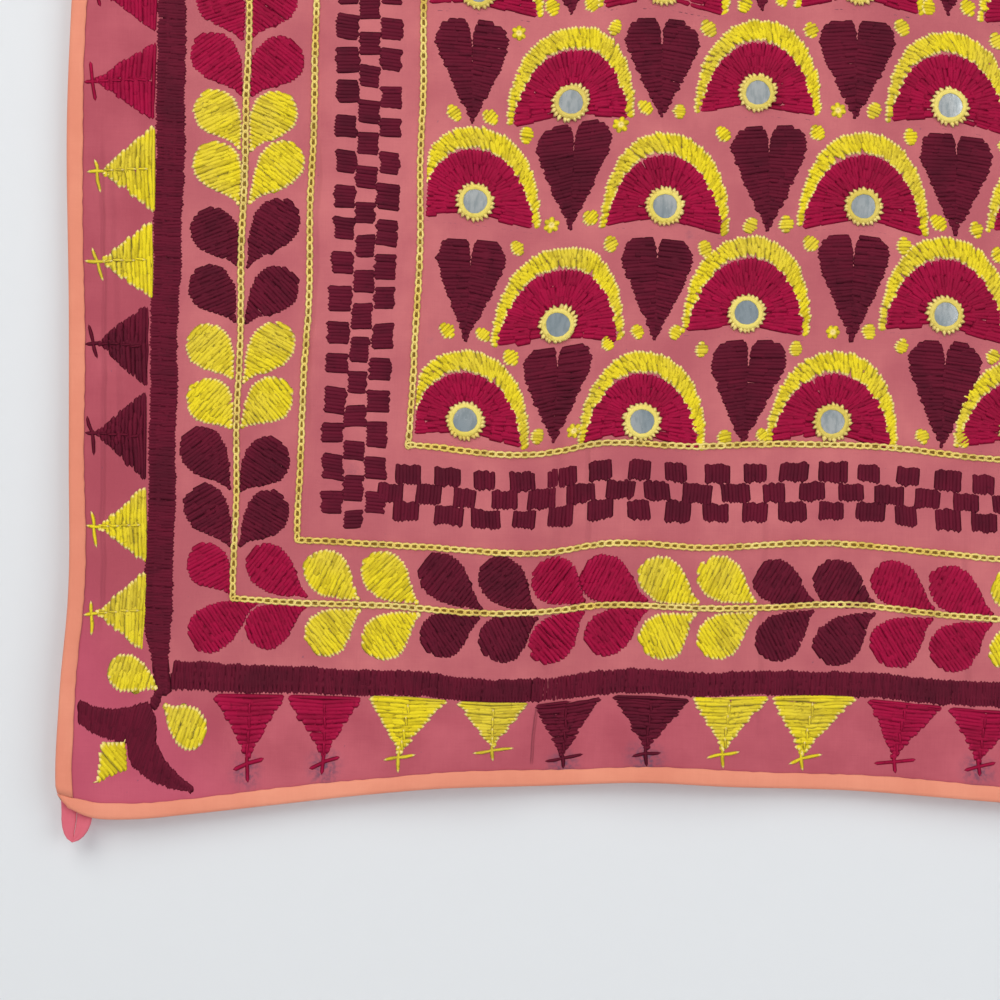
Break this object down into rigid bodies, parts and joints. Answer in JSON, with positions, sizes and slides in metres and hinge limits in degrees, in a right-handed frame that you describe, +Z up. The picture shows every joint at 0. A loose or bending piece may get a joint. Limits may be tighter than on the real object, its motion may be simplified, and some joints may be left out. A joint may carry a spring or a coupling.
{
  "type": "mirror work wall hanging",
  "caption": "Square embroidered cotton wall hanging with round mirrors, satin and chain stitch borders, a bound edge and a loop at each corner.",
  "frame": {"origin": "middle of the top edge, at the fold of the binding, in the cloth's middle plane", "axes": "+Z up the hanging cloth, +X to the right seen from the worked face, the worked face looks towards -Y"},
  "size_m": [0.7839, 0.0119, 0.8209],
  "materials": {
    "ground": "matt plain weave cotton, rose pink, covered with floss embroidery",
    "binding": "matt cotton strip, peach",
    "loop": "matt cotton strip, bright pink",
    "mirror": "aged silvered glass with specks",
    "thread_yellow": "untwisted silky floss, yellow",
    "thread_chain": "silky floss, pale yellow",
    "thread_plum": "silky floss, plum",
    "thread_crimson": "silky floss, crimson"
  },
  "bodies": {
    "root": {"ground_cloth": "ground", "binding_left": "binding", "binding_right": "binding", "binding_bottom": "binding", "binding_top": "binding", "corner_loop_low_left": "loop", "corner_loop_low_right": "loop", "corner_loop_top_left": "loop", "corner_loop_top_right": "loop", "mirror_01": "mirror", "mirror_02": "mirror", "mirror_03": "mirror", "mirror_04": "mirror", "mirror_05": "mirror", "mirror_06": "mirror", "mirror_07": "mirror", "mirror_08": "mirror", "mirror_09": "mirror", "mirror_10": "mirror", "mirror_11": "mirror", "mirror_12": "mirror", "mirror_13": "mirror", "mirror_14": "mirror", "mirror_15": "mirror", "mirror_16": "mirror", "mirror_17": "mirror", "mirror_18": "mirror", "mirror_19": "mirror", "mirror_20": "mirror", "mirror_21": "mirror", "mirror_22": "mirror", "mirror_23": "mirror", "mirror_24": "mirror", "mirror_25": "mirror", "mirror_26": "mirror", "mirror_27": "mirror", "mirror_28": "mirror", "mirror_29": "mirror", "mirror_30": "mirror", "mirror_31": "mirror", "mirror_32": "mirror", "mirror_33": "mirror", "mirror_34": "mirror", "mirror_35": "mirror", "mirror_36": "mirror"}
  },
  "joints": []
}
